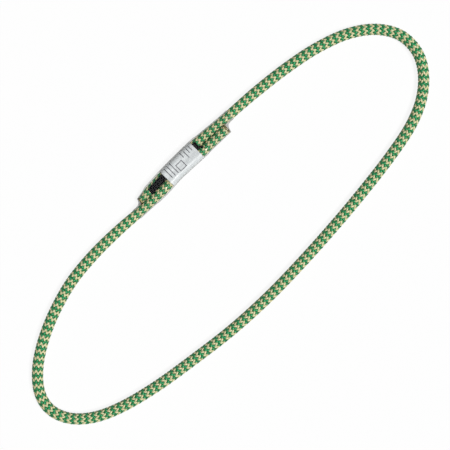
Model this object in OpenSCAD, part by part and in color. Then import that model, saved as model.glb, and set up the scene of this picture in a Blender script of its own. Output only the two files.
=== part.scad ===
// Sewn cord loop. One length of braided cord lies as an open oval on Z = 0, its long axis along X.
// Its two ends lap side by side in a splice on the +Y side of the oval. There they are sewn
// together, wrapped in a label and held in a clear shrink sleeve. All sizes are in millimetres.

/* [Cord] */
// Outer diameter of the free cord
cord_d = 6; // [5:0.25:7]
// Wall of the braided sheath
sheath_wall = 1; // [0.8:0.05:1.2]
// Depth of the flat that the cord rests on
rest_flat = 0.6; // [0.4:0.05:0.7]

/* [Splice] */
// Length over which the two cord ends lie side by side
lap_len = 60; // [54:1:64]
// How much narrower the cord is where it is sewn and sleeved
squeeze = 0.8; // [0.4:0.05:1]
// Diameter of the pinched tail at the outer cord end
tail_d = 4.2; // [3.8:0.1:4.6]
// Length over which the tail narrows
tail_len = 7; // [5:0.5:10]
// Thickness of the fused plug that seals each cord end
seal_t = 0.8; // [0.5:0.1:1.2]

/* [Stitching] */
// Length of the bar-tacked seam
seam_len = 36; // [28:1:40]
// Distance of the seam's middle from the middle of the lap
seam_shift = 4.8; // [3:0.1:6]
// Thickness of the layer of thread on the cord
thread_t = 0.15; // [0.1:0.01:0.25]
// Angle round the cord, from its crest, to the edge of the seam beside the other cord
seam_in_angle = 62; // [50:1:65]
// Angle round the cord, from its crest, to the edge of the seam away from the other cord
seam_out_angle = 36; // [20:1:50]

/* [Label] */
// Length of the label along the splice
label_len = 22; // [16:0.5:28]
// Distance of the label's middle from the middle of the lap
label_shift = 0.5; // [0:0.1:3]
// Thickness of the label film
label_t = 0.1; // [0.06:0.01:0.2]

/* [Sleeve] */
// How far the sleeve runs past each cord end
cuff_len = 6; // [4.5:0.25:8]
// Wall of the shrunk sleeve
sleeve_t = 0.2; // [0.15:0.01:0.35]

/* [Fits] */
// Clearance between layers that lie on each other
fit_gap = 0.06; // [0.05:0.01:0.12]
// Clearance between the two cords in the lap
lap_gap = 0.1; // [0.06:0.01:0.2]

/* [Hidden] */

cord_sides = 12;
strand_sides = 6;
hull_sides = 24;
ring_steps = 2;
outer_strands = 6;
cuff_steps = 5;
body_steps = 12;
seam_steps = 9;
seam_arcs = 5;
cuff_power = 6;      // how sharply the sleeve closes in past a cord end
strand_margin = 0.05; // clearance round each core strand

// Outer end of the cord is at tail_x, inner end at lap_x: both lie in the splice.
tail_x = -24.6;
lap_x = tail_x + lap_len;
lap_middle = (tail_x + lap_x) / 2;
label_x = lap_middle - label_shift;
seam_x = lap_middle - seam_shift;

// Layers of the splice, counted outwards from the surface of the cords.
thread_in = fit_gap;
thread_out = thread_in + thread_t;
label_in = thread_out + fit_gap;
label_out = label_in + label_t;
sleeve_in = label_out + fit_gap;
sleeve_out = sleeve_in + sleeve_t;

// Route of the cord, from its inner end round the oval to its outer end: X, Y and rise.
// A rise of 0 rests the cord on the ground, 1 rests it in the sleeve, and more lifts it further.
route = [
    [lap_x - seal_t, 36, 3], [18, 36.5, 1.6], [0, 37.3, 1], [-12, 36.8, 1], [-27, 37.3, 1], [-44, 38.4, 0.3],
    [-62, 38.5, 0], [-80, 36.7, 0], [-97, 32, 0], [-112, 25.5, 0], [-124.5, 17.3, 0], [-133, 7.5, 0],
    [-135.5, -3, 0], [-131.5, -13.5, 0], [-122, -22.2, 0], [-108, -28.6, 0], [-88, -33.8, 0], [-64, -37.7, 0],
    [-38, -41, 0], [-12, -42.3, 0], [14, -41.8, 0], [40, -40.3, 0], [64, -38.1, 0], [86, -35.3, 0],
    [104, -31.7, 0], [118, -25.9, 0], [128.5, -17.2, 0], [134.5, -6.5, 0], [134.5, 6, 0], [127.5, 17.4, 0],
    [115, 26.4, 0], [98, 32.6, 0], [79, 36.4, 0], [61, 38.6, 0.2], [48, 39.6, 0.7], [35, 40.4, 1],
    [18, 41.9, 1], [0, 42.2, 1], [-12, 41.8, 1], [tail_x + seal_t, 41, 1]
];
last_point = len(route) - 1;

function mix(a, b, t) = a + (b - a) * t;
function route_at(i) =
    i < 0 ? 2 * route[0] - route[1] :
    i > last_point ? 2 * route[last_point] - route[last_point - 1] :
    route[i];
// A point of the smooth curve through the route, a share t of the way from point i to the next.
function curve_at(i, t) =
    let (a = route_at(i - 1), b = route_at(i), c = route_at(i + 1), d = route_at(i + 2))
    (2 * b + (c - a) * t + (2 * a - 5 * b + 4 * c - d) * t * t + (3 * b - a - 3 * c + d) * t * t * t) / 2;
function ring_at(i, t) = let (p = curve_at(i, t)) [p.x, p.y, mix(route_at(i).z, route_at(i + 1).z, t)];

rings = [
    for (i = [0 : last_point - 1], k = [0 : ring_steps - 1]) ring_at(i, k / ring_steps),
    route[last_point]
];
last_ring = len(rings) - 1;
half_ring = last_ring / 2;

// Radius and centre height of the cord where its rise is known.
function rise_radius(rise) = (cord_d - squeeze * min(rise, 1)) / 2;
function tail_radius(x, r) = min(r, mix(tail_d / 2, r, (x - tail_x) / tail_len));
function centre_z(r, rise) = r - rest_flat + rise * sleeve_out;

// The two runs that meet in the splice, as tables over X.
inner_y = [for (i = [0 : last_ring / 5]) [rings[i].x, rings[i].y]];
inner_rise = [for (i = [0 : last_ring / 5]) [rings[i].x, rings[i].z]];
outer_y = [for (i = [last_ring * 4 / 5 : last_ring]) [rings[i].x, rings[i].y]];
outer_rise = [for (i = [last_ring * 4 / 5 : last_ring]) [rings[i].x, rings[i].z]];

// A run of the cord at x, as [Y, Z, radius].
function inner_run(x) =
    let (rise = lookup(x, inner_rise), r = rise_radius(rise)) [lookup(x, inner_y), centre_z(r, rise), r];
function outer_run(x) =
    let (rise = lookup(x, outer_rise), r = tail_radius(x, rise_radius(rise)))
    [lookup(x, outer_y), centre_z(r, rise), r];
// Y of the plane in which the two cords press on each other at x.
function meeting_y(x) =
    let (a = inner_run(x), b = outer_run(x)) (a[0] * b[2] + b[0] * a[2]) / (a[2] + b[2]);

// Each ring of the swept cord, as its centre, the direction to its left, and its radius.
function is_outer_run(i) = i > half_ring && rings[i].y > 0;
function is_inner_run(i) = i < half_ring && rings[i].y > 0;
function in_lap(i) = rings[i].x > tail_x - cuff_len && rings[i].x < lap_x + cuff_len;
function ring_r(i) =
    let (r = rise_radius(rings[i].z)) is_outer_run(i) ? tail_radius(rings[i].x, r) : r;
function ring_centre(i) = [rings[i].x, rings[i].y, centre_z(ring_r(i), rings[i].z)];
function ring_left(i) =
    i == 0 || i == last_ring ? [0, -1, 0] : // the cord ends are cut square to X
    let (d = rings[i + 1] - rings[i - 1]) [-d.y, d.x, 0] / norm([d.x, d.y]);

// Keeps a point of a ring off the ground and on its own side of the meeting plane.
function pressed(i, p) =
    let (
        floor_z = centre_z(ring_r(i), rings[i].z) - ring_r(i) + rest_flat,
        y = !in_lap(i) ? p.y :
            is_inner_run(i) ? min(p.y, meeting_y(rings[i].x) - lap_gap / 2) :
            is_outer_run(i) ? max(p.y, meeting_y(rings[i].x) + lap_gap / 2) : p.y
    )
    [p.x, y, max(p.z, floor_z)];

// Points of ring i on a circle of radius r, whose centre lies off the cord's by shift along [left, up].
function circle_points(i, r, sides, shift) = [
    for (k = [0 : sides - 1])
        let (a = 360 * (k + 0.5) / sides)
        ring_centre(i) + (shift[0] + r * cos(a)) * ring_left(i) + [0, 0, shift[1] + r * sin(a)]
];
function skin_points(i) = [for (p = circle_points(i, ring_r(i), cord_sides, [0, 0])) pressed(i, p)];
function bore_points(i) = circle_points(i, ring_r(i) - sheath_wall, cord_sides, [0, 0]);

// Side faces between sections of n points each, starting at point number base.
function side_faces(base, sections, n) = [
    for (s = [0 : sections - 2], k = [0 : n - 1])
        let (a = base + s * n + k, b = base + s * n + (k + 1) % n)
        each [[a, a + n, b], [b, a + n, b + n]]
];
function turned(faces) = [for (f = faces) [f[0], f[2], f[1]]];
// Faces that close a sweep's first section: round a point in its middle, or as rungs between the
// section's two long sides.
function fan_cap(base, n, middle) = [for (k = [0 : n - 1]) [middle, base + k, base + (k + 1) % n]];
function rung_cap(base, n) = [
    for (k = [0 : n / 2 - 2])
        each [
            [base + k, base + k + 1, base + n - 2 - k],
            [base + k, base + n - 2 - k, base + n - 1 - k]
        ]
];
// Ring of faces that closes a hollow sweep at the section with outer points from a and inner ones from b.
function rim_faces(a, b, n) = [
    for (k = [0 : n - 1])
        let (m = (k + 1) % n)
        each [[a + k, a + m, b + k], [b + k, a + m, b + m]]
];

// Solid sweep through sections, each a list of points round the section.
function section_middle(section) = [for (k = [0 : len(section) - 1]) 1] * section / len(section);
module solid_sweep(sections) {
    n = len(sections[0]);
    count = n * len(sections);
    points = [
        for (s = sections) each s,
        section_middle(sections[0]),
        section_middle(sections[len(sections) - 1])
    ];
    faces = concat(
        fan_cap(0, n, count),
        side_faces(0, len(sections), n),
        turned(fan_cap(count - n, n, count + 1))
    );
    polyhedron(points, faces, convexity = 6);
}

// Sweep of a thin bent section, whose points run along one long side and back along the other.
module band_sweep(sections) {
    n = len(sections[0]);
    points = [for (s = sections) each s];
    faces = concat(
        rung_cap(0, n),
        side_faces(0, len(sections), n),
        turned(rung_cap(len(points) - n, n))
    );
    polyhedron(points, faces, convexity = 6);
}

// Hollow sweep: outer and inner sections, as many of each, with as many points.
module hollow_sweep(outer, inner) {
    n = len(outer[0]);
    points = [for (s = concat(outer, inner)) each s];
    half = len(points) / 2;
    faces = concat(
        side_faces(0, len(outer), n),
        turned(side_faces(half, len(inner), n)),
        rim_faces(0, half, n),
        turned(rim_faces(half - n, 2 * half - n, n))
    );
    polyhedron(points, faces, convexity = 8);
}

// Circles of the two cords inside the sleeve at x, as [Y, Z, radius]. Past a cord end, the circle
// of the cord that has ended slides onto the other.
function cling(u) = 1 - pow(1 - min(max(u, 0), 1), cuff_power);
function inner_circle(x) =
    x <= lap_x ? inner_run(x) : mix(inner_run(lap_x), outer_run(x), cling((x - lap_x) / cuff_len));
function outer_circle(x) =
    x >= tail_x ? outer_run(x) : mix(outer_run(tail_x), inner_run(x), cling((tail_x - x) / cuff_len));

// Section at x of a skin round both cords, off by gap from them and no lower than floor_z.
function hull_point(a, b, d, gap) =
    let (
        reach_a = a[0] * d.x + a[1] * d.y + a[2],
        reach_b = b[0] * d.x + b[1] * d.y + b[2],
        c = reach_a > reach_b ? a : b,
        r = (c[2] + gap) / cos(180 / hull_sides)
    )
    [c[0] + r * d.x, c[1] + r * d.y];
function hull_section(x, gap, floor_z) =
    let (a = inner_circle(x), b = outer_circle(x))
    [
        for (k = [0 : hull_sides - 1])
            let (t = 360 * (k + 0.5) / hull_sides, p = hull_point(a, b, [cos(t), sin(t)], gap))
            [x, p[0], max(p[1], floor_z)]
    ];
module skin_tube(stations, gap_in, gap_out, floor_in, floor_out) {
    hollow_sweep(
        [for (x = stations) hull_section(x, gap_out, floor_out)],
        [for (x = stations) hull_section(x, gap_in, floor_in)]
    );
}

// Core strands lie parallel in the sheath's bore, one in the middle and six round it.
function bore_inside(i) = (ring_r(i) - sheath_wall) * cos(180 / cord_sides);
function strand_r(i) = (bore_inside(i) - 2 * strand_margin) / 3;
function strand_shift(i, number) =
    number == 0 ? [0, 0] :
    (2 * strand_r(i) + strand_margin) * [cos(360 * number / outer_strands), sin(360 * number / outer_strands)];
module core_strand(number)
    color("ivory")
    solid_sweep([
        for (i = [0 : last_ring]) circle_points(i, strand_r(i), strand_sides, strand_shift(i, number))
    ]);

module sheath()
    color("mediumseagreen")
    hollow_sweep([for (i = [0 : last_ring]) skin_points(i)], [for (i = [0 : last_ring]) bore_points(i)]);

// Fused plug on the end face of the cord at ring i, thick towards the end, with an eased rim.
module end_seal(i, way) {
    rim = skin_points(i);
    middle = ring_centre(i);
    eased = 0.9;
    color("darkolivegreen")
        solid_sweep([
            for (s = way > 0 ? [0, 0.6, 1] : [1, 0.6, 0])
                [for (p = rim) mix(middle, p, s < 1 ? 1 : eased) + [way * s * seal_t, 0, 0]]
        ]);
}
module inner_end_seal() end_seal(0, 1);
module outer_end_seal() end_seal(last_ring, -1);

// Band of thread on one run of the cord, between two angles round it.
function band_section(x, run, from, to) =
    let (arcs = [for (k = [0 : seam_arcs]) mix(from, to, k / seam_arcs)], low = run[1] - run[2] + rest_flat)
    concat(
        [for (t = arcs) [
            x,
            run[0] + (run[2] + thread_out) * cos(t),
            max(run[1] + (run[2] + thread_out) * sin(t), low - thread_out)
        ]],
        [for (k = [seam_arcs : -1 : 0]) let (t = arcs[k]) [
            x,
            run[0] + (run[2] + thread_in) / cos(10) * cos(t),
            max(run[1] + (run[2] + thread_in) / cos(10) * sin(t), low - thread_in)
        ]]
    );
seam_stations = [for (k = [0 : seam_steps]) seam_x - seam_len / 2 + seam_len * k / seam_steps];
module needle_thread()
    color("black")
    band_sweep([
        for (x = seam_stations) band_section(x, outer_run(x), 90 + seam_in_angle, 90 - seam_out_angle)
    ]);
module bobbin_thread()
    color("black")
    band_sweep([
        for (x = seam_stations) band_section(x, inner_run(x), seam_in_angle - 90, -90 - seam_out_angle)
    ]);

label_stations = [for (k = [0 : 4]) label_x - label_len / 2 + label_len * k / 4];
module label()
    color("whitesmoke")
    skin_tube(label_stations, label_in, label_out, sleeve_t + fit_gap + label_t, sleeve_t + fit_gap);

sleeve_stations = concat(
    [for (k = [cuff_steps : -1 : 0]) tail_x - cuff_len * pow(k / cuff_steps, 2)],
    [for (k = [1 : body_steps - 1]) mix(tail_x, lap_x, k / body_steps)],
    [for (k = [0 : cuff_steps]) lap_x + cuff_len * pow(k / cuff_steps, 2)]
);
module shrink_sleeve()
    color([0.9, 0.95, 0.92, 0.4])
    skin_tube(sleeve_stations, sleeve_in, sleeve_out, sleeve_t, 0);

sheath();
core_strand(0);  // core_strand_centre
core_strand(1);  // core_strand_1
core_strand(2);  // core_strand_2
core_strand(3);  // core_strand_3
core_strand(4);  // core_strand_4
core_strand(5);  // core_strand_5
core_strand(6);  // core_strand_6
inner_end_seal();
outer_end_seal();
needle_thread();
bobbin_thread();
label();
shrink_sleeve();
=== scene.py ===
"""Sewn cord loop for Blender: braided sheath, core, stitching, label and clear shrink sleeve.

Lengths are in millimetres until a mesh is made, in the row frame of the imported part.
"""

import math

import bpy
import numpy as np
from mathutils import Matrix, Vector


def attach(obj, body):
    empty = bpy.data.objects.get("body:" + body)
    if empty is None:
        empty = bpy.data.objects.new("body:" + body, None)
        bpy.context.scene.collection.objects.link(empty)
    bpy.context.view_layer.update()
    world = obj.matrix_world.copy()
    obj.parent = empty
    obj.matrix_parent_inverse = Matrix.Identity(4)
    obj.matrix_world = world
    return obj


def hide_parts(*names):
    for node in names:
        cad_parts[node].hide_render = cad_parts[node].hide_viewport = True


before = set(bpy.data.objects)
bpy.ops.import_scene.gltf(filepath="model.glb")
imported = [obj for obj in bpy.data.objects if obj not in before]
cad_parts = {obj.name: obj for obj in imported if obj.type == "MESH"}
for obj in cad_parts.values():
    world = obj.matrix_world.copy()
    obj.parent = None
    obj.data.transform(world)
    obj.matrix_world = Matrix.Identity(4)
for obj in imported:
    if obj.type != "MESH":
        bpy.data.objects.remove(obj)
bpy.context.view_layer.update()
MM = 0.001

# ---------------------------------------------------------------- driving sizes

# As in the part.
TAIL_X = -24.6  # outer end of the cord
LAP_X = 35.4  # inner end of the cord
TAIL_R = 2.1  # radius of the pinched tail at the outer end
TAIL_LEN = 7.0  # length over which the tail narrows
SEAL_T = 0.8  # thickness of the fused plug that seals each end
SEAM_X, SEAM_LEN = 0.6, 36.0  # middle and length of the seam
LABEL_X, LABEL_LEN = 4.9, 22.0  # middle and length of the label
CUFF_LEN = 6.0  # how far the sleeve runs past each cord end
LABEL_IN, LABEL_OUT = 0.27, 0.37  # the label's faces, off the surface of the cord
SLEEVE_IN = 0.43  # the sleeve's inner face over the seam and the label
SLEEVE_OUT = 0.63  # its outer face in the part, which sets how high the cord rests in it

# Fitted to the yarn, whose crests stand a little proud of the part's plain cord.
CORD_R = 3.08  # to the crests of the yarn
SQUEEZE_R = 0.35  # how much smaller the cord's radius is in the splice
REST_FLAT = 0.35  # depth of the flat that the cord rests on
LAP_PRESS = 0.3  # how far the crests of the two runs sink into each other in the splice
PRESS_FADE = 0.6  # how fast a pressed side moves off the cord, past an end of the other run
NOT_PRESSED = 99.0  # distance to a pressed side where there is none
LEAST_SIDE = 0.3  # nearest that a pressed side comes to the cord's middle
FLAT_POWER = 16  # how sharply the cord's round turns into its flats
THREAD_R = 0.17
SLEEVE_TIGHT, SLEEVE_T = 0.12, 0.16  # gap of the sleeve where nothing lies under it, and its wall

# Route of the cord from its inner end round the oval to its outer end: X, Y and rise.
ROUTE = [
    (LAP_X - SEAL_T, 36, 3), (18, 36.5, 1.6), (0, 37.3, 1), (-12, 36.8, 1), (-27, 37.3, 1),
    (-44, 38.4, 0.3), (-62, 38.5, 0), (-80, 36.7, 0), (-97, 32, 0), (-112, 25.5, 0),
    (-124.5, 17.3, 0), (-133, 7.5, 0), (-135.5, -3, 0), (-131.5, -13.5, 0), (-122, -22.2, 0),
    (-108, -28.6, 0), (-88, -33.8, 0), (-64, -37.7, 0), (-38, -41, 0), (-12, -42.3, 0),
    (14, -41.8, 0), (40, -40.3, 0), (64, -38.1, 0), (86, -35.3, 0), (104, -31.7, 0),
    (118, -25.9, 0), (128.5, -17.2, 0), (134.5, -6.5, 0), (134.5, 6, 0), (127.5, 17.4, 0),
    (115, 26.4, 0), (98, 32.6, 0), (79, 36.4, 0), (61, 38.6, 0.2), (48, 39.6, 0.7),
    (35, 40.4, 1), (18, 41.9, 1), (0, 42.2, 1), (-12, 41.8, 1), (TAIL_X + SEAL_T, 41, 1),
]

# The sheath: as many carriers run each way, tan and green by turns.
CARRIERS = 14
COLOUR_PITCH = 3.67  # length of cord from one tan zigzag to the next, on the whole
SHEATH_TURN = 15, 150  # degrees that the sheath is turned round the cord, at its inner and outer end
RINGS_A_PITCH = 8
YARN_OUT, YARN_IN = 0.42, 0.18  # height of a carrier outwards and inwards of its middle
YARN_LIFT = 0.4  # how far a carrier swings out of the sheath's middle layer and into it
YARN_FULL = 0.6  # shape of its outer side: 1 is an ellipse, less is fuller
SLANT_R, WIDTH_R = CORD_R - 0.4, CORD_R - 0.3  # where a carrier's slant and its width are worked out
TAN_FILL, GREEN_FILL = 0.96, 1.24  # width of a carrier, by its share of the way round

# ---------------------------------------------------------------- the cord's run


def smooth_route(per_leg=40):
    """Points of the smooth curve through the route: X, Y and rise."""
    p = np.array(ROUTE, float)
    p = np.vstack([2 * p[0] - p[1], p, 2 * p[-1] - p[-2]])
    a, b, c, d = p[:-3], p[1:-2], p[2:-1], p[3:]
    t = (np.arange(per_leg) / per_leg)[:, None, None]
    curve = (2 * b + (c - a) * t + (2 * a - 5 * b + 4 * c - d) * t**2 + (3 * b - a - 3 * c + d) * t**3) / 2
    curve[..., 2] = b[:, 2] + (c[:, 2] - b[:, 2]) * t[..., 0]
    curve = curve.transpose(1, 0, 2).reshape(-1, 3)
    return np.vstack([curve, p[-2]])


LINE = smooth_route()
ALONG = np.concatenate([[0], np.cumsum(np.linalg.norm(np.diff(LINE[:, :2], axis=0), axis=1))])
CORD_LEN = ALONG[-1]


def at(s):
    """Place X, Y, direction to the left, and rise of the cord at the distance s along it."""
    x, y, rise = (np.interp(s, ALONG, LINE[:, k]) for k in range(3))
    step = 0.4  # to each side, to find the direction
    ahead = [np.interp(s + step, ALONG, LINE[:, k]) - np.interp(s - step, ALONG, LINE[:, k]) for k in (0, 1)]
    size = np.hypot(*ahead)
    return x, y, -ahead[1] / size, ahead[0] / size, rise


def by_x(points):
    """The points by rising X, as np.interp wants them."""
    return points[np.argsort(points[:, 0])]


QUARTER = len(LINE) // 4
INNER, OUTER = by_x(LINE[:QUARTER]), by_x(LINE[-QUARTER:])


def radius_at(rise):
    return CORD_R - SQUEEZE_R * np.minimum(rise, 1)


def height_at(r, rise):
    return r - REST_FLAT + rise * SLEEVE_OUT


def tail_radius(x, r):
    """Radius r of the outer run, narrowed where x lies in the pinched tail."""
    return np.minimum(r, TAIL_R + (r - TAIL_R) * np.clip((x - TAIL_X) / TAIL_LEN, 0, 1))


def inner_run(x):
    """Y, Z and radius of the inner run of the cord at x."""
    rise = np.interp(x, INNER[:, 0], INNER[:, 2])
    r = radius_at(rise)
    return np.interp(x, INNER[:, 0], INNER[:, 1]), height_at(r, rise), r


def outer_run(x):
    """Y, Z and radius of the outer run of the cord at x."""
    rise = np.interp(x, OUTER[:, 0], OUTER[:, 2])
    r = tail_radius(x, radius_at(rise))
    return np.interp(x, OUTER[:, 0], OUTER[:, 1]), height_at(r, rise), r


def meeting_y(x):
    """Y at which the two runs touch."""
    (ay, _, ar), (by, _, br) = inner_run(x), outer_run(x)
    return (ay * br + by * ar) / (ar + br)


def section(s):
    """The cord at s: its centre, its direction to the left, its radius, how far off its pressed side is
    and which way, and its height over the ground."""
    x, y, left_x, left_y, rise = at(s)
    r = radius_at(rise)
    outer = (s > CORD_LEN / 2) & (y > 0)
    inner = (s < CORD_LEN / 2) & (y > 0)
    r = np.where(outer, tail_radius(x, r), r)
    beyond = np.maximum(np.maximum(TAIL_X - x, x - LAP_X), 0)
    side = np.where(inner, meeting_y(x) - y, y - meeting_y(x)) + LAP_PRESS / 2
    side = np.where(inner | outer, side + PRESS_FADE * beyond, NOT_PRESSED)
    return dict(x=x, y=y, z=height_at(r, rise), left=(left_x, left_y), r=r, side=side,
                side_y=np.where(inner, 1.0, -1.0), floor=r - REST_FLAT)


def on_cord(s, angle, depth):
    """Points in the cord at s, at an angle round it (0 is left, a right angle is up) and a depth below
    its surface. The surface is a circle, eased flat on the ground and where the two runs press."""
    c = section(s)
    left_x, left_y = c["left"]
    across, up = np.cos(angle), np.sin(angle)
    to_side = np.clip(across * left_y * c["side_y"], 0, None) / np.maximum(c["side"], LEAST_SIDE)
    to_floor = np.clip(-up, 0, None) / c["floor"]
    reach = (c["r"] ** -FLAT_POWER + to_side**FLAT_POWER + to_floor**FLAT_POWER) ** (-1 / FLAT_POWER)
    out = reach - depth * c["r"] / CORD_R
    points = [c["x"] + out * across * left_x, c["y"] + out * across * left_y, c["z"] + out * up]
    return np.stack(points, axis=-1)


# ---------------------------------------------------------------- meshes


def mesh_from(name, points, quads, uv, fans):
    """A piece made of quads, and fans that close its ends, smooth shaded, in metres."""
    faces = [quads.reshape(-1)] + [np.array(f).reshape(-1) for f in fans]
    sizes = np.concatenate([np.full(len(quads), 4), *[np.full(1, len(f)) for f in fans]]).astype(np.int32)
    loops = np.concatenate(faces).astype(np.int32)
    me = bpy.data.meshes.new(name)
    me.vertices.add(len(points))
    me.vertices.foreach_set("co", (points * MM).astype(np.float32).ravel())
    me.loops.add(len(loops))
    me.loops.foreach_set("vertex_index", loops)
    me.polygons.add(len(sizes))
    me.polygons.foreach_set("loop_start", np.concatenate([[0], np.cumsum(sizes)[:-1]]).astype(np.int32))
    me.polygons.foreach_set("loop_total", sizes)
    me.polygons.foreach_set("use_smooth", np.ones(len(sizes), bool))
    me.update(calc_edges=True)
    for layer, corners in uv.items():
        full = np.zeros((len(loops), 2), np.float32)
        full[: len(corners)] = corners
        me.uv_layers.new(name=layer).data.foreach_set("uv", full.ravel())
    ob = bpy.data.objects.new(name, me)
    bpy.context.scene.collection.objects.link(ob)
    return ob


BAKE_RIM = 0.002  # bare rim at the ends of a strip in the map for baking
STRIP_RIM = 0.04  # and at its sides, as a share of its width
YARN_SHIFT = 3.7  # millimetres between the yarn maps of two runs


def tubes(name, runs, folds=1, loop=False, crest=None, share=(0, 1)):
    """Tubes side by side in one mesh. Each run is an array of rings, points and coordinates, with its ends
    closed unless it is a loop. The map for baking lays each run in as many strips as folds, in one of so
    many shares of the square. The map yarn holds millimetres along and round each run."""
    count, rings, n, _ = np.shape(runs)
    points = np.reshape(runs, (-1, 3))
    legs = rings if loop else rings - 1
    m, k = np.meshgrid(np.arange(legs), np.arange(n), indexing="ij")
    ahead = (m + 1) % rings
    quad = np.stack([m * n + k, ahead * n + k, ahead * n + (k + 1) % n, m * n + (k + 1) % n], axis=-1)
    quads = (quad.reshape(1, -1, 4) + (np.arange(count) * rings * n)[:, None, None]).reshape(-1, 4)
    fold = math.ceil(legs / folds)
    strip, place = np.divmod(m, fold)
    rows = count * folds
    bake, yarn = [], []
    step = np.linalg.norm(np.diff(runs, axis=1), axis=-1).mean()
    width = np.linalg.norm(np.diff(runs, axis=2), axis=-1).mean()
    for t in range(count):
        corner, fine = [], []
        for dm, dk in ((0, 0), (1, 0), (1, 1), (0, 1)):
            u = BAKE_RIM + (1 - 2 * BAKE_RIM) * (place + dm) / fold
            v = t * folds + strip + STRIP_RIM + (1 - 2 * STRIP_RIM) * (k + dk) / n
            v = (v / rows + share[0]) / share[1]
            corner.append(np.stack([u, v], axis=-1))
            fine.append(np.stack([(m + dm) * step, (k + dk) * width + YARN_SHIFT * t], axis=-1))
        bake.append(np.stack(corner, axis=2).reshape(-1, 2))
        yarn.append(np.stack(fine, axis=2).reshape(-1, 2))
    fans = []
    if not loop:
        for t in range(count):
            base = t * rings * n
            fans += [range(base, base + n), range(base + rings * n - 1, base + rings * n - 1 - n, -1)]
    ob = mesh_from(name, points, quads, {"OFBake": np.concatenate(bake), "yarn": np.concatenate(yarn)}, fans)
    if crest is not None:
        values = ob.data.attributes.new("crest", "FLOAT", "POINT").data
        values.foreach_set("value", np.ravel(crest).astype(np.float32))
    return ob


# ---------------------------------------------------------------- materials


def shader(name, **values):
    """A material with one Principled shader, whose plain values are given by socket name."""
    mat = bpy.data.materials.new(name)
    mat.use_nodes = True
    nt = mat.node_tree
    bsdf = nt.nodes["Principled BSDF"]
    for socket, value in values.items():
        bsdf.inputs[socket.replace("_", " ")].default_value = value
    return mat, nt, bsdf


def node(nt, kind, **values):
    """A new node, with its settings and plain input values given by name."""
    n = nt.nodes.new("ShaderNode" + kind)
    for key, value in values.items():
        if hasattr(n, key):
            setattr(n, key, value)
        else:
            n.inputs[key.replace("_", " ")].default_value = value
    return n


def calc(nt, operation, *values):
    """Result of a Math node on numbers and sockets."""
    n = node(nt, "Math", operation=operation)
    for socket, value in zip(n.inputs, values):
        if isinstance(value, (int, float)):
            socket.default_value = value
        else:
            nt.links.new(value, socket)
    return n.outputs[0]


def map_range(nt, source, **values):
    n = node(nt, "MapRange", **values)
    nt.links.new(source, n.inputs["Value"])
    return n.outputs[0]


def mix_colours(nt, share, first, second):
    """A colour that goes from the first to the second, each a socket or a plain colour."""
    n = node(nt, "Mix", data_type="RGBA")
    nt.links.new(share, n.inputs[0])
    for socket, colour in zip((n.inputs[6], n.inputs[7]), (first, second)):
        if isinstance(colour, tuple):
            socket.default_value = (*colour, 1)
        else:
            nt.links.new(colour, socket)
    return n.outputs[2]


def mix_shaders(nt, share, first, second):
    n = node(nt, "MixShader")
    for socket, source in zip(n.inputs, (share, first, second)):
        nt.links.new(source, socket)
    return n.outputs[0]


def part_xyz(nt):
    """X, Y and Z in the part's own frame, in metres."""
    xyz = node(nt, "SeparateXYZ")
    nt.links.new(node(nt, "TexCoord").outputs["Object"], xyz.inputs[0])
    return xyz.outputs


def in_place(nt, scale, detail=2.0):
    """Noise in the part's own frame, a cycle in about 1/scale metres."""
    noise = node(nt, "TexNoise", Scale=scale, Detail=detail)
    nt.links.new(node(nt, "TexCoord").outputs["Object"], noise.inputs["Vector"])
    return noise.outputs["Fac"]


def streaks(nt, along, round_it, detail=3.0):
    """Noise that is drawn out along the yarn: cycles in a millimetre along it and round it."""
    scale = node(nt, "Mapping")
    scale.inputs["Scale"].default_value = (along, round_it, 1)
    noise = node(nt, "TexNoise", Scale=1.0, Detail=detail, Roughness=0.6)
    nt.links.new(node(nt, "UVMap", uv_map="yarn").outputs[0], scale.inputs["Vector"])
    nt.links.new(scale.outputs[0], noise.inputs["Vector"])
    return noise.outputs["Fac"]


def ramp(nt, source, *stops):
    """Colour by the value of a socket, from stops of value and colour."""
    r = node(nt, "ValToRGB")
    while len(r.color_ramp.elements) < len(stops):
        r.color_ramp.elements.new(0.5)
    for e, (value, colour) in zip(r.color_ramp.elements, stops):
        e.position, e.color = value, (*colour, 1)
    nt.links.new(source, r.inputs["Fac"])
    return r.outputs[0]


def bump(nt, surface, source, distance, strength=1.0):
    """Relief on a shader from a socket's value, as high as a distance in metres."""
    b = node(nt, "Bump", Strength=strength, Distance=distance)
    nt.links.new(source, b.inputs["Height"])
    nt.links.new(b.outputs[0], surface.inputs["Normal"])


def srgb(*levels):
    """Linear colour from 8-bit screen values."""
    shares = [level / 255 for level in levels]
    return tuple(c / 12.92 if c <= 0.04045 else ((c + 0.055) / 1.055) ** 2.4 for c in shares)


BLACK, WHITE = (0, 0, 0), (1, 1, 1)


def yarn_material(name, painted_shade, dark, mid, light, glint, ior, rough):
    """Dyed multifilament yarn: fine filaments along it, with faint changes of tone, and painted shade where
    a carrier sinks between its neighbours. Its gloss has the colour of the dyed filaments."""
    mat, nt, bsdf = shader(name, Roughness=rough, Specular_IOR_Level=0.5, IOR=ior,
                           Specular_Tint=(*glint, 1), Anisotropic=0.6, Anisotropic_Rotation=0.25)
    tangent = node(nt, "Tangent", direction_type="UV_MAP", uv_map="yarn")
    nt.links.new(tangent.outputs[0], bsdf.inputs["Tangent"])
    tone = ramp(nt, streaks(nt, 0.35, 5.0), (0.3, dark), (0.5, mid), (0.72, light))
    # Painted shade: the base colour turns to the shade colour where the crest attribute says a carrier sits
    # low between its neighbours.
    crest = node(nt, "Attribute", attribute_name="crest")
    rise = ramp(nt, crest.outputs["Fac"], (0.5, BLACK), (0.84, WHITE))
    nt.links.new(mix_colours(nt, rise, painted_shade, tone), bsdf.inputs["Base Color"])
    bump(nt, bsdf, streaks(nt, 0.8, 14.0, detail=2.0), 0.00006, 0.6)
    return mat


# The first colour of each yarn is painted shade, for the crevices where a carrier sinks between its
# neighbours.
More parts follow.
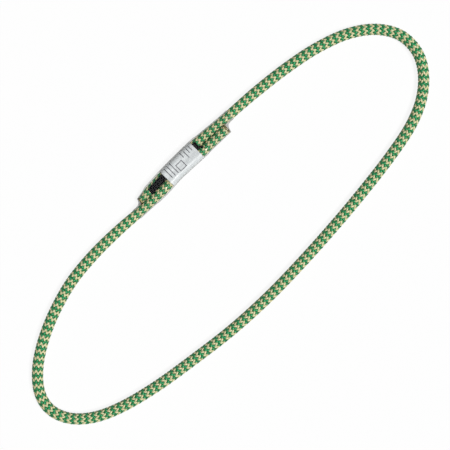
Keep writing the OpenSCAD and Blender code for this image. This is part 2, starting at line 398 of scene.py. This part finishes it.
TAN = yarn_material(
    "tan_yarn", painted_shade=srgb(104, 96, 46), dark=srgb(182, 174, 120), mid=srgb(206, 200, 154),
    light=srgb(226, 220, 186), glint=(1.0, 0.98, 0.88), ior=1.45, rough=0.42,
)
GREEN = yarn_material(
    "green_yarn", painted_shade=BLACK, dark=srgb(0, 28, 4), mid=srgb(10, 56, 16),
    light=srgb(40, 90, 44), glint=(0.17, 1.0, 0.46), ior=2.15, rough=0.5,
)


def plain_yarn(name, dark, light):
    """Undyed yarn of the core."""
    mat, nt, bsdf = shader(name, Roughness=0.5, Sheen_Weight=0.2, Sheen_Roughness=0.4)
    tone = ramp(nt, streaks(nt, 0.3, 4.0), (0.3, dark), (0.7, light))
    nt.links.new(tone, bsdf.inputs["Base Color"])
    bump(nt, bsdf, streaks(nt, 0.8, 12.0), 0.00006, 0.8)
    return mat


def fused_material():
    """Nylon melted to an olive skin, darker in places."""
    mat, nt, bsdf = shader("fused_nylon", Roughness=0.38, Specular_IOR_Level=0.5)
    patches = in_place(nt, 900)
    tone = ramp(nt, patches, (0.35, srgb(34, 42, 16)), (0.5, srgb(104, 96, 50)), (0.66, srgb(158, 146, 92)))
    nt.links.new(tone, bsdf.inputs["Base Color"])
    bump(nt, bsdf, patches, 0.0002)
    return mat


def thread_material():
    """Black sewing thread with a faint twist."""
    mat, nt, bsdf = shader("black_thread", Roughness=0.8, Specular_IOR_Level=0.06)
    twist = streaks(nt, 3.0, 6.0)
    tone = ramp(nt, twist, (0.3, srgb(3, 3, 5)), (0.7, srgb(16, 15, 20)))
    nt.links.new(tone, bsdf.inputs["Base Color"])
    bump(nt, bsdf, twist, 0.00005)
    return mat


LABEL_LINES = [  # plain ruled lines: x, y of the start, and length
    (-3.5, 44.2, 6.6), (-1.5, 44.2, 6.8), (0.5, 44.2, 6.9),
    (8.2, 44.4, 3.3), (10.2, 43.4, 4.4), (12.2, 43.8, 3.2), (13.9, 43.8, 3.2),
]
LABEL_LINE_R = 0.24  # half the width of a ruled line
LABEL_BOX = (1.9, 6.4, 36.8, 41.2)  # a blank field: x and y between
LABEL_BOX_RIM = 0.45
PRINT_Z = 3.5  # the print is only on the upper side, above this height


def label_material():
    """Printed film: pale grey, with ruled lines and a blank field to write in."""
    mat, nt, bsdf = shader("label_film", Roughness=0.45, Specular_IOR_Level=0.6)
    xyz = part_xyz(nt)

    def within(axis, low, high):
        above = calc(nt, "GREATER_THAN", xyz[axis], low * MM)
        return calc(nt, "MULTIPLY", above, calc(nt, "LESS_THAN", xyz[axis], high * MM))

    def block(x0, x1, y0, y1):
        return calc(nt, "MULTIPLY", within(0, x0, x1), within(1, y0, y1))

    x0, x1, y0, y1 = LABEL_BOX
    rim = LABEL_BOX_RIM
    ink = calc(nt, "SUBTRACT", block(x0, x1, y0, y1), block(x0 + rim, x1 - rim, y0 + rim, y1 - rim))
    for x, y, reach in LABEL_LINES:
        ink = calc(nt, "MAXIMUM", ink, block(x - LABEL_LINE_R, x + LABEL_LINE_R, y - reach, y))
    ink = calc(nt, "MULTIPLY", ink, calc(nt, "GREATER_THAN", xyz[2], PRINT_Z * MM))
    paper = ramp(nt, in_place(nt, 120), (0.3, srgb(205, 210, 213)), (0.7, srgb(214, 218, 221)))
    nt.links.new(mix_colours(nt, ink, paper, srgb(86, 87, 94)), bsdf.inputs["Base Color"])
    bump(nt, bsdf, in_place(nt, 160), 0.00008, 0.2)
    return mat


# Past each cord end the film is shrunk thick between the end and the other run, and milky: x and y
# from clear to milky.
WEBS = [((35.0, 35.8), (38.3, 37.7)), ((-24.4, -25.2), (39.7, 40.3))]
WEB_MILK = 0.25
FILM_GLOSS_MOST = 0.2  # so that the film doesn't turn into a mirror on its edge


def sleeve_material(outside):
    """Clear film: seen through face on and grey where it is seen on edge, with a trace of milky haze,
    and a soft gloss on its outer face."""
    mat = bpy.data.materials.new("clear_film" if outside else "clear_film_inside")
    mat.use_nodes = True
    nt = mat.node_tree
    nt.nodes.remove(nt.nodes["Principled BSDF"])
    edge_on = node(nt, "LayerWeight", Blend=0.5).outputs["Facing"]
    greys = (0.25, (0.98, 0.98, 0.975)), (0.6, (0.88, 0.88, 0.87)), (0.95, (0.66, 0.66, 0.65))
    tint = ramp(nt, edge_on, *greys)
    clear = node(nt, "BsdfTransparent")
    nt.links.new(tint, clear.inputs["Color"])
    haze = node(nt, "BsdfPrincipled", Roughness=0.4, Base_Color=(*srgb(206, 205, 196), 1))
    cloud = ramp(nt, in_place(nt, 350, detail=3), (0.35, BLACK), (0.75, (0.004, 0.004, 0.004)))
    xyz = part_xyz(nt)
    webs = []
    for web in WEBS:
        sides = [map_range(nt, xyz[k], From_Min=web[k][0] * MM, From_Max=web[k][1] * MM) for k in (0, 1)]
        webs.append(calc(nt, "MULTIPLY", *sides))
    milk = calc(nt, "MULTIPLY_ADD", calc(nt, "MAXIMUM", *webs), WEB_MILK, cloud)
    surface = mix_shaders(nt, milk, clear.outputs[0], haze.outputs[0])
    if outside:
        gloss = node(nt, "BsdfGlossy", Roughness=0.15)
        bump(nt, gloss, in_place(nt, 260), 0.0001, 0.25)
        fresnel = node(nt, "Fresnel", IOR=1.25)
        amount = calc(nt, "MINIMUM", fresnel.outputs[0], FILM_GLOSS_MOST)
        surface = mix_shaders(nt, amount, surface, gloss.outputs[0])
    nt.links.new(surface, nt.nodes["Material Output"].inputs["Surface"])
    return mat


# ---------------------------------------------------------------- camera

PHOTO_W = 0.23715  # width that the photograph shows, in metres
PHOTO_X, PHOTO_Y = -0.0016, 0.00067  # point of the part's frame at its middle
PHOTO_Z = 0.003  # height at which it shows that width, about the middle of the cord
PHOTO_TURN = -45  # degrees from the part's frame to the photograph's
cam = bpy.data.objects.new("camera", bpy.data.cameras.new("camera"))
bpy.context.scene.collection.objects.link(cam)
cam.data.lens = 135
half_view = cam.data.sensor_width / 2 / cam.data.lens
cam.location = (PHOTO_X, PHOTO_Y, PHOTO_Z + PHOTO_W / 2 / half_view)
cam.rotation_euler = (0, 0, math.radians(PHOTO_TURN))
cam.data.clip_start, cam.data.clip_end = 0.05, 10
bpy.context.scene.camera = cam

# ---------------------------------------------------------------- the sheath

ROUND = 2 * math.pi


def yarn_section():
    """Round a carrier's section: share of its half width, and its height. It is well rounded outwards
    and flat on the inside."""
    a = np.radians([*np.linspace(0, 180, 7), 232, 308])  # seven points on the outer side, two inside
    up = np.sin(a)
    return np.cos(a), np.where(up > 0, YARN_OUT * np.abs(up) ** YARN_FULL, YARN_IN * up)


def carriers(way, first, fill):
    """Every second carrier that runs one way round the cord (way is 1 or -1), from number first, as
    wide as fill times its share of the way round."""
    turn = math.pi / CARRIERS  # from one crossing to the next, round the cord
    quick = 4 * turn / COLOUR_PITCH  # angle that a carrier runs round the cord in a millimetre of it
    rings = int(CORD_LEN / COLOUR_PITCH * RINGS_A_PITCH) + 1
    s = np.linspace(0, CORD_LEN, rings)
    wide, thick = yarn_section()
    slant = math.atan(quick * SLANT_R)
    half = turn * CORD_R * math.cos(slant) * fill  # half the width of a carrier
    runs, crests = [], []
    turned = np.radians(np.linspace(*SHEATH_TURN, rings))
    for number in range(first, CARRIERS, 2):
        angle = 2 * turn * number + way * quick * s
        swing = np.cos(angle / (2 * turn) * math.pi - math.pi / 4) * way  # over two, then under two
        angle = angle + turned
        mid_depth = YARN_OUT + YARN_LIFT * (1 - swing)
        side = wide[None] * half
        at_s = s[:, None] - way * side * math.sin(slant)
        at_angle = angle[:, None] + side * math.cos(slant) / WIDTH_R
        depth = mid_depth[:, None] - thick[None]
        runs.append(on_cord(np.clip(at_s, 0, CORD_LEN), at_angle, depth))
        crests.append(1 - depth / (YARN_OUT + 2 * YARN_LIFT + YARN_IN))
    return np.array(runs), np.array(crests)


braid = []
for title, way, first, fill, material in (
    ("tan_carriers_right", 1, 0, TAN_FILL, TAN),
    ("green_carriers_right", 1, 1, GREEN_FILL, GREEN),
    ("tan_carriers_left", -1, 0, TAN_FILL, TAN),
    ("green_carriers_left", -1, 1, GREEN_FILL, GREEN),
):
    runs, crest = carriers(way, first, fill)
    piece = tubes(title, runs, folds=12, crest=crest)
    piece.data.materials.append(material)
    braid.append(piece)

for piece in braid:
    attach(piece, "root")
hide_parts("sheath")

# ---------------------------------------------------------------- the core

CORE_R = 1.88  # the core inside the sheath, where the cord is free
STRAND_R = 0.6
PLIES = 3
PLY_TURN = 9.0  # length of strand in which its plies turn once
PLY_GROOVE = 0.14  # depth of the grooves between them, as a share of the strand's radius
CORE_SHORT = 0.2  # how far the strands stop short of the cord's ends


def core_strand(number):
    """A strand of twisted plies, run straight through the sheath."""
    s = np.linspace(CORE_SHORT, CORD_LEN - CORE_SHORT, 760)
    sides = 12
    round_it = np.arange(sides) / sides * ROUND
    c = section(s)
    scale = (c["r"] / CORD_R)[:, None]
    turn = s[:, None] / PLY_TURN * ROUND
    ply = np.abs(np.cos(PLIES / 2 * (round_it[None] + turn)))
    r = STRAND_R * (1 - PLY_GROOVE + PLY_GROOVE * ply) * scale
    shift = 0 if number == 0 else (CORE_R - STRAND_R) * scale
    angle = number / 6 * ROUND
    across = shift * math.cos(angle) + r * np.cos(round_it)
    up = shift * math.sin(angle) + r * np.sin(round_it)
    left_x, left_y = (k[:, None] for k in c["left"])
    points = [c["x"][:, None] + across * left_x, c["y"][:, None] + across * left_y, c["z"][:, None] + up]
    return np.stack(points, axis=-1)


CORE = plain_yarn("core_yarn", srgb(214, 212, 204), srgb(238, 236, 232))
for number in range(7):
    title = "core_strand_centre" if number == 0 else f"core_strand_{number}"
    piece = tubes("plied_" + title, core_strand(number)[None], folds=24)
    piece.data.materials.append(CORE)
    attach(piece, "root")
    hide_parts(title)

# ---------------------------------------------------------------- fused cord ends

SEAL_PROFILE = [  # of a melted end: how far past the cord's end, and how deep under its surface
    (-0.5, 0.3), (-0.35, -0.03), (0, -0.06), (0.35, -0.02), (0.6, 0.1), (0.75, 0.35), (0.82, 0.9),
    (0.86, 1.7), (0.86, 2.6),
]


def end_seal(s_end, way):
    """The melted end of the cord: it grips the last of the sheath and ends in a low, lumpy dome."""
    n = 48
    angle = np.arange(n) / n * ROUND
    lumps = 0.05 * np.sin(3 * angle + 1) + 0.04 * np.sin(7 * angle)
    rings = []
    for out, depth in SEAL_PROFILE:
        ring = on_cord(np.full(n, s_end), angle, depth + lumps * min(1, depth + 0.6))
        rings.append(ring + np.array([way * (out + 0.03 * math.sin(9 * depth)), 0, 0]))
    return np.array(rings if way < 0 else rings[::-1])[None]


FUSED = fused_material()
for title, s_end, way in (("inner_end_seal", 0.0, 1), ("outer_end_seal", CORD_LEN, -1)):
    piece = tubes("fused_" + title, end_seal(s_end, way))
    piece.data.materials.append(FUSED)
    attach(piece, "root")
    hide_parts(title)

# ---------------------------------------------------------------- bar-tacked seam

STITCH_PITCH = 0.46
STITCH_LIFT = 0.1  # of the stitches off the surface of the cord
STITCH_DIP, DIP_SHARE = 0.5, 0.14  # how deep each end dives in, and over which share of a half stitch
STITCH_SHARE = 0.95  # of its pitch that a stitch takes, along the seam
UNEVEN_X, UNEVEN_LIFT = 0.04, 0.03  # how far stitches are off their place and height
STITCH_START = 0.1  # of the first pass, from the seam's end
FILLERS, FILLER_R = 13, 0.2  # threads that the stitches cross, and their radius
FILLER_X = SEAM_X - SEAM_LEN / 2 + 0.4, SEAM_X + SEAM_LEN / 2 - 0.6  # where they start and end
LAST_X, LAST_STEP = 16.3, 0.3  # where the seam's last threads start, and the step from one to the next
LAST_TURN = 8, 24  # degrees round the inner run, where they start and where the shortest would end
LAST_REACH = [12] * 5 + [40] * 4  # how many degrees further each one goes
LAST_LEAN = 0.022  # how far they lean along the cord, for each of those degrees
rng = np.random.default_rng(7)


def thread_along(points, ups, r=THREAD_R):
    """Rings of a thread that follows points, with a direction up at each of them."""
    sides = 6
    ahead = np.gradient(points, axis=0)
    ahead /= np.maximum(np.linalg.norm(ahead, axis=1, keepdims=True), 1e-6)
    side = np.cross(ahead, ups)
    side /= np.maximum(np.linalg.norm(side, axis=1, keepdims=True), 1e-6)
    up = np.cross(side, ahead)
    a = (np.arange(sides) / sides * ROUND)[None, :, None]
    return points[:, None] + r * (np.cos(a) * side[:, None] + np.sin(a) * up[:, None])


def over(run, x, turn, lift):
    """Points and upward directions on one run of the cord, at x and an angle round it from +Y."""
    y, z, r = run(x)
    up = np.stack([np.zeros_like(turn), np.cos(turn), np.sin(turn)], axis=-1)
    middle = np.stack([x, y, z], axis=-1)
    low = np.clip(z + (r + lift) * np.sin(turn), z - r + REST_FLAT - 0.1, None)
    p = middle + (r + lift)[..., None] * up
    p[..., 2] = np.where(np.sin(turn) < 0, low, p[..., 2])
    return p, up


def zigzag(run, edge_a, edge_b, start, pitch, ragged):
    """One pass of stitches to and fro between two angles round a run of the cord."""
    count = int((SEAM_LEN - 2 * start) / pitch)
    turns, xs, lifts = [], [], []
    for k in range(count):
        a = edge_a + rng.uniform(-ragged, ragged)
        b = edge_b + rng.uniform(-ragged, ragged)
        if k % 2:
            a, b = b, a
        share = np.linspace(0, 1, 11)
        turns.append(np.radians(a + (b - a) * share))
        x = SEAM_X - SEAM_LEN / 2 + start + pitch * (k + STITCH_SHARE * share)
        xs.append(x + rng.uniform(-UNEVEN_X, UNEVEN_X))
        dip = STITCH_DIP * np.clip(np.abs(share - 0.5) * 2 - (1 - DIP_SHARE), 0, 1) / DIP_SHARE
        lifts.append(STITCH_LIFT - dip + rng.uniform(-UNEVEN_LIFT, UNEVEN_LIFT))
    p, up = over(run, np.concatenate(xs), np.concatenate(turns), np.concatenate(lifts))
    return thread_along(p, up)


def lengthways(run, turn):
    """A thread that the stitches cross, along the seam."""
    x = np.linspace(*FILLER_X, 200)
    p, up = over(run, x, np.full_like(x, math.radians(turn)), np.zeros_like(x))
    return thread_along(p, up, FILLER_R)


def last_stitch():
    """Threads that lead from the seam's right end down over the inner run: short ones, then long."""
    share = np.linspace(0, 1, 20)
    start, end = LAST_TURN
    ends = []
    for k, reach in enumerate(LAST_REACH):
        x = LAST_X + LAST_STEP * k + LAST_LEAN * reach * share
        lift = STITCH_LIFT - 0.4 * share**6
        p, up = over(inner_run, x, np.radians(start + (end - start + reach) * share), lift)
        ends.append(thread_along(p, up))
    return ends


def seam(name, run, edge_a, edge_b, ragged, more):
    """Two passes of stitches over threads that run along the seam, and more threads, as one piece."""
    starts = STITCH_START, STITCH_START + STITCH_PITCH / 2
    sets = [[zigzag(run, edge_a, edge_b, start, STITCH_PITCH, ragged)] for start in starts]
    sets.append([lengthways(run, turn) for turn in np.linspace(edge_a, edge_b, FILLERS + 2)[1:-1]])
    sets += more
    parts = [tubes(f"{name}_{i}", np.array(p), share=(i, len(sets))) for i, p in enumerate(sets)]
    for p in parts:
        p.data.materials.append(THREAD)
    with bpy.context.temp_override(active_object=parts[0], selected_editable_objects=parts, object=parts[0]):
        bpy.ops.object.join()
    parts[0].name = parts[0].data.name = name
    return parts[0]


THREAD = thread_material()
# The seam's edges are angles round each run, in degrees from +Y.
for title, run, edge_a, edge_b, ragged, more in (
    ("needle_thread", outer_run, 153, 64, 9, [last_stitch()]),
    ("bobbin_thread", inner_run, -28, -126, 2, []),
):
    piece = seam("sewn_" + title, run, edge_a, edge_b, ragged, more)
    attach(piece, "root")
    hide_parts(title)

# ---------------------------------------------------------------- label and sleeve

DIRECTIONS = 360  # in which a film's reach is taken, one for each degree
STRAIGHT_DOWN = 270
FILM_SIDES = 96
SIDE_CROWD = 1.9  # how much closer a film's points are at the far sides of the runs
FILM_SAG, SAG_WIDTH = 0.12, 0.45  # of a film into the valley between the runs, and its reach in radians
RUNS_APART = 5.0  # distance between the runs at which it sags so much
FILM_WAVE = 0.03  # its small waves
LABEL_FLOOR = 0.26, 0.22  # lowest that the label's inner and outer faces come to the ground
SLEEVE_FLOOR = 0.2, 0.03  # and the sleeve's


def cling(u):
    """From 0 to 1 as u does, fast at first: how far a film has come down onto the run beside an end."""
    return 1 - (1 - np.clip(u, 0, 1)) ** 6


def skin(x, gap, floor):
    """Rings at x round both runs, off by gap from them, tight as a film between them, and no lower
    than floor. Past a cord end the film comes down onto the other run."""
    a, b = np.array(inner_run(x)), np.array(outer_run(x))
    a_end, b_end = np.array(inner_run(LAP_X))[:, None], np.array(outer_run(TAIL_X))[:, None]
    past_a, past_b = cling((x - LAP_X) / CUFF_LEN), cling((TAIL_X - x) / CUFF_LEN)
    a = np.where(x > LAP_X, a_end + (b - a_end) * past_a, a)
    b = np.where(x < TAIL_X, b_end + (a - b_end) * past_b, b)
    middle_y, middle_z = (a[0] + b[0]) / 2, (a[1] + b[1]) / 2
    t = np.arange(DIRECTIONS) / DIRECTIONS * ROUND

    def reach_of(run):
        off_y, off_z, r = run[0] - middle_y, run[1] - middle_z, run[2] + gap
        return off_y[:, None] * np.cos(t) + off_z[:, None] * np.sin(t) + r[:, None]

    reach = np.maximum(reach_of(a), reach_of(b))
    reach[:, STRAIGHT_DOWN] = np.minimum(reach[:, STRAIGHT_DOWN], middle_z - floor)
    even = np.arange(FILM_SIDES) / FILM_SIDES * ROUND
    angle = np.arctan2(np.sin(even), SIDE_CROWD * np.cos(even))
    lean = np.cos(angle[:, None] - t[None])
    lean = np.where(lean > 0.02, lean, np.nan)  # a direction square to a point doesn't bound it
    r = np.nanmin(reach[:, None, :] / lean[None], axis=2)
    sag = FILM_SAG * np.exp(-(((angle - math.pi / 2) / SAG_WIDTH) ** 2))
    sag = sag * (np.abs(a[0] - b[0]) / RUNS_APART)[:, None]
    ripple = np.sin(1.1 * x[:, None] + 2 * np.sin(3 * angle)) * np.sin(0.37 * x[:, None] + 5 * angle)
    r = r - sag + FILM_WAVE * ripple
    height = np.maximum(middle_z[:, None] + r * np.sin(angle), floor)
    return np.stack([x[:, None] + 0 * r, middle_y[:, None] + r * np.cos(angle), height], axis=-1)


def sleeve_gap(x):
    """How far the inside of the sleeve is off the cord: it shrinks down past the seam's ends."""
    out = np.maximum(np.abs(x - SEAM_X) - SEAM_LEN / 2, 0)
    return SLEEVE_TIGHT + (SLEEVE_IN - SLEEVE_TIGHT) * np.exp(-((out / 1.5) ** 2))


def shell(name, x, gap_in, gap_out, floors, materials):
    """A thin tube of film, whose faces inside wear the second material, where there is one."""
    rings = np.concatenate([skin(x, gap_out, floors[1]), skin(x, gap_in, floors[0])[::-1]])
    piece = tubes(name, rings[None], folds=4, loop=True)
    for material in materials:
        piece.data.materials.append(material)
    inner = np.arange(len(piece.data.polygons)) // rings.shape[1] >= len(x)
    piece.data.polygons.foreach_set("material_index", inner.astype(np.int32) * (len(materials) > 1))
    return piece


label_x = np.linspace(LABEL_X - LABEL_LEN / 2, LABEL_X + LABEL_LEN / 2, 60)
label = shell("wrapped_label", label_x, LABEL_IN, LABEL_OUT, LABEL_FLOOR, [label_material()])
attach(label, "root")
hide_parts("label")

past = CUFF_LEN * np.linspace(0, 1, 26) ** 1.6
sleeve_x = np.concatenate([TAIL_X - past[::-1], np.linspace(TAIL_X, LAP_X, 110)[1:-1], LAP_X + past])
tight = sleeve_gap(sleeve_x)
films = [sleeve_material(outside=True), sleeve_material(outside=False)]
sleeve = shell("clear_shrink_sleeve", sleeve_x, tight, tight + SLEEVE_T, SLEEVE_FLOOR, films)
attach(sleeve, "root")
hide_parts("shrink_sleeve")

# ---------------------------------------------------------------- light and ground

FILL = 0.03  # strength of the world's even light on the object
SUN = 3.6
SUN_FROM = (0.17, -0.44, 0.88)  # from the lower right of the photograph
SUN_WIDTH = 18  # degrees, for soft shadows
FLOOR_SIZE = 6.0
FLOOR_GREY = 0.86
SLIT = 0.004  # distance up to which something over the floor darkens it, in metres


def backdrop_rays(nt):
    """One for the rays that show the backdrop: straight, mirrored and through clear film."""
    rays = node(nt, "LightPath").outputs
    seen = calc(nt, "MAXIMUM", rays["Is Camera Ray"], rays["Is Glossy Ray"])
    return calc(nt, "MAXIMUM", seen, rays["Is Transmission Ray"])


world = bpy.data.worlds.new("world")
world.use_nodes = True
bpy.context.scene.world = world
background = world.node_tree.nodes["Background"]
background.inputs["Color"].default_value = (*WHITE, 1)
strength = map_range(world.node_tree, backdrop_rays(world.node_tree), To_Min=FILL)
world.node_tree.links.new(strength, background.inputs["Strength"])

key = bpy.data.objects.new("key", bpy.data.lights.new("key", "SUN"))
key.data.energy = SUN
key.data.angle = math.radians(SUN_WIDTH)
key.rotation_euler = Vector(SUN_FROM).to_track_quat("Z", "Y").to_euler()
bpy.context.scene.collection.objects.link(key)


def floor_material():
    """Pale floor. To the backdrop's rays most of it is white, but not the slits under cord and film."""
    mat, nt, bsdf = shader("ground", Roughness=0.9, Specular_IOR_Level=0.1)
    bsdf.inputs["Base Color"].default_value = (FLOOR_GREY, FLOOR_GREY, FLOOR_GREY, 1)
    white = node(nt, "Emission", Strength=1.0)
    open_sky = node(nt, "AmbientOcclusion", samples=16, Distance=SLIT)
    most = map_range(nt, open_sky.outputs["AO"], From_Min=0.15, From_Max=0.4, To_Max=0.9)
    shown = calc(nt, "MULTIPLY", backdrop_rays(nt), most)
    surface = mix_shaders(nt, shown, bsdf.outputs[0], white.outputs[0])
    nt.links.new(surface, nt.nodes["Material Output"].inputs["Surface"])
    return mat


corners = [Vector((x, y, 0)) * FLOOR_SIZE / 2 for x, y in ((-1, -1), (1, -1), (1, 1), (-1, 1))]
ground = bpy.data.objects.new("ground", bpy.data.meshes.new("ground"))
ground.data.from_pydata(corners, [], [(0, 1, 2, 3)])
ground.data.materials.append(floor_material())
bpy.context.scene.collection.objects.link(ground)

bpy.context.scene.view_settings.view_transform = "Standard"
